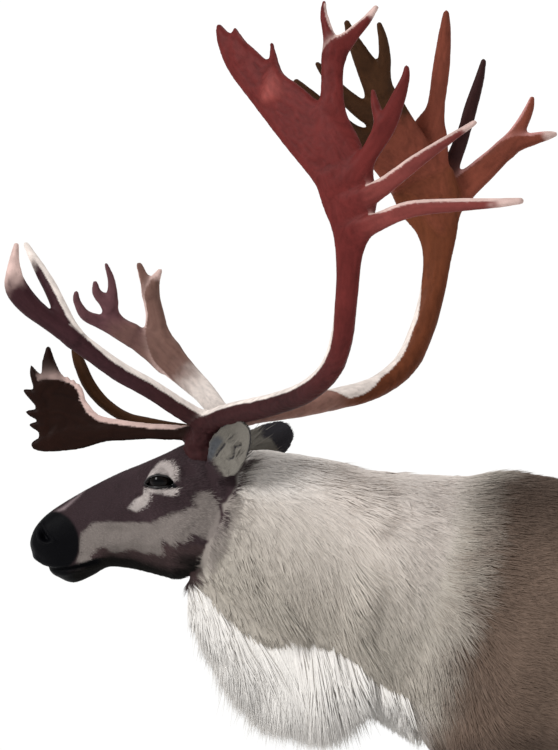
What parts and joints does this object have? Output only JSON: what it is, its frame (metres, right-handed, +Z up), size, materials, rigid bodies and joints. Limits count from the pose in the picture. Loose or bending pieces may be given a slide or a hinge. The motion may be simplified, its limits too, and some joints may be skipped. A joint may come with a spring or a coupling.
{
  "type": "life-size standing bull reindeer, still model",
  "caption": "Standing reindeer with palmate branched antlers, a pale neck and a long throat mane, for a museum floor.",
  "frame": {"origin": "on the floor under the middle of the whole animal's box", "axes": "+Z up, the head towards -X, the animal's left side towards -Y"},
  "size_m": [1.8984, 0.836, 2.0841],
  "materials": {
    "face_coat": "short dark brown hair, paler on the cheeks and round the eyes, black at the nose",
    "ear_coat": "short grey-brown hair, paler inside",
    "neck_coat": "long pale grey hair, nearly white on the throat mane",
    "body_coat": "dense grey-brown hair with a paler flank and belly",
    "leg_coat": "short dark brown hair with a pale band above the hooves",
    "tail_coat": "white hair with a darker upper side",
    "antler_left": "ridged reddish brown antler with paler tips",
    "antler_right": "ridged brown antler with paler tips",
    "hoof": "black horn, lightly ringed",
    "eye": "wet and dark"
  },
  "bodies": {
    "root": {"head": "face_coat", "neck": "neck_coat", "torso": "body_coat", "leg_front_left_upper": "leg_coat", "leg_front_left_lower": "leg_coat", "hoof_front_left_outer": "hoof", "dewclaw_front_left_outer": "hoof", "hoof_front_left_inner": "hoof", "dewclaw_front_left_inner": "hoof", "leg_front_right_upper": "leg_coat", "leg_front_right_lower": "leg_coat", "hoof_front_right_inner": "hoof", "dewclaw_front_right_inner": "hoof", "hoof_front_right_outer": "hoof", "dewclaw_front_right_outer": "hoof", "leg_hind_left_upper": "leg_coat", "leg_hind_left_lower": "leg_coat", "hoof_hind_left_outer": "hoof", "dewclaw_hind_left_outer": "hoof", "hoof_hind_left_inner": "hoof", "dewclaw_hind_left_inner": "hoof", "leg_hind_right_upper": "leg_coat", "leg_hind_right_lower": "leg_coat", "hoof_hind_right_inner": "hoof", "dewclaw_hind_right_inner": "hoof", "hoof_hind_right_outer": "hoof", "dewclaw_hind_right_outer": "hoof", "tail": "tail_coat", "ear_left": "ear_coat", "ear_right": "ear_coat", "eye_left": "eye", "eye_right": "eye", "antler_left_base": "antler_left", "antler_left_beam": "antler_left", "antler_left_palm": "antler_left", "antler_left_brow": "antler_left", "antler_left_bez": "antler_left", "antler_left_front": "antler_left", "antler_left_top": "antler_left", "antler_left_inner": "antler_left", "antler_left_back_high": "antler_left", "antler_left_back_low": "antler_left", "antler_right_base": "antler_right", "antler_right_beam": "antler_right", "antler_right_palm": "antler_right", "antler_right_brow": "antler_right", "antler_right_bez": "antler_right", "antler_right_bez_low": "antler_right", "antler_right_low_front": "antler_right", "antler_right_front": "antler_right", "antler_right_top": "antler_right", "antler_right_rear": "antler_right", "antler_right_back": "antler_right"}
  },
  "joints": []
}
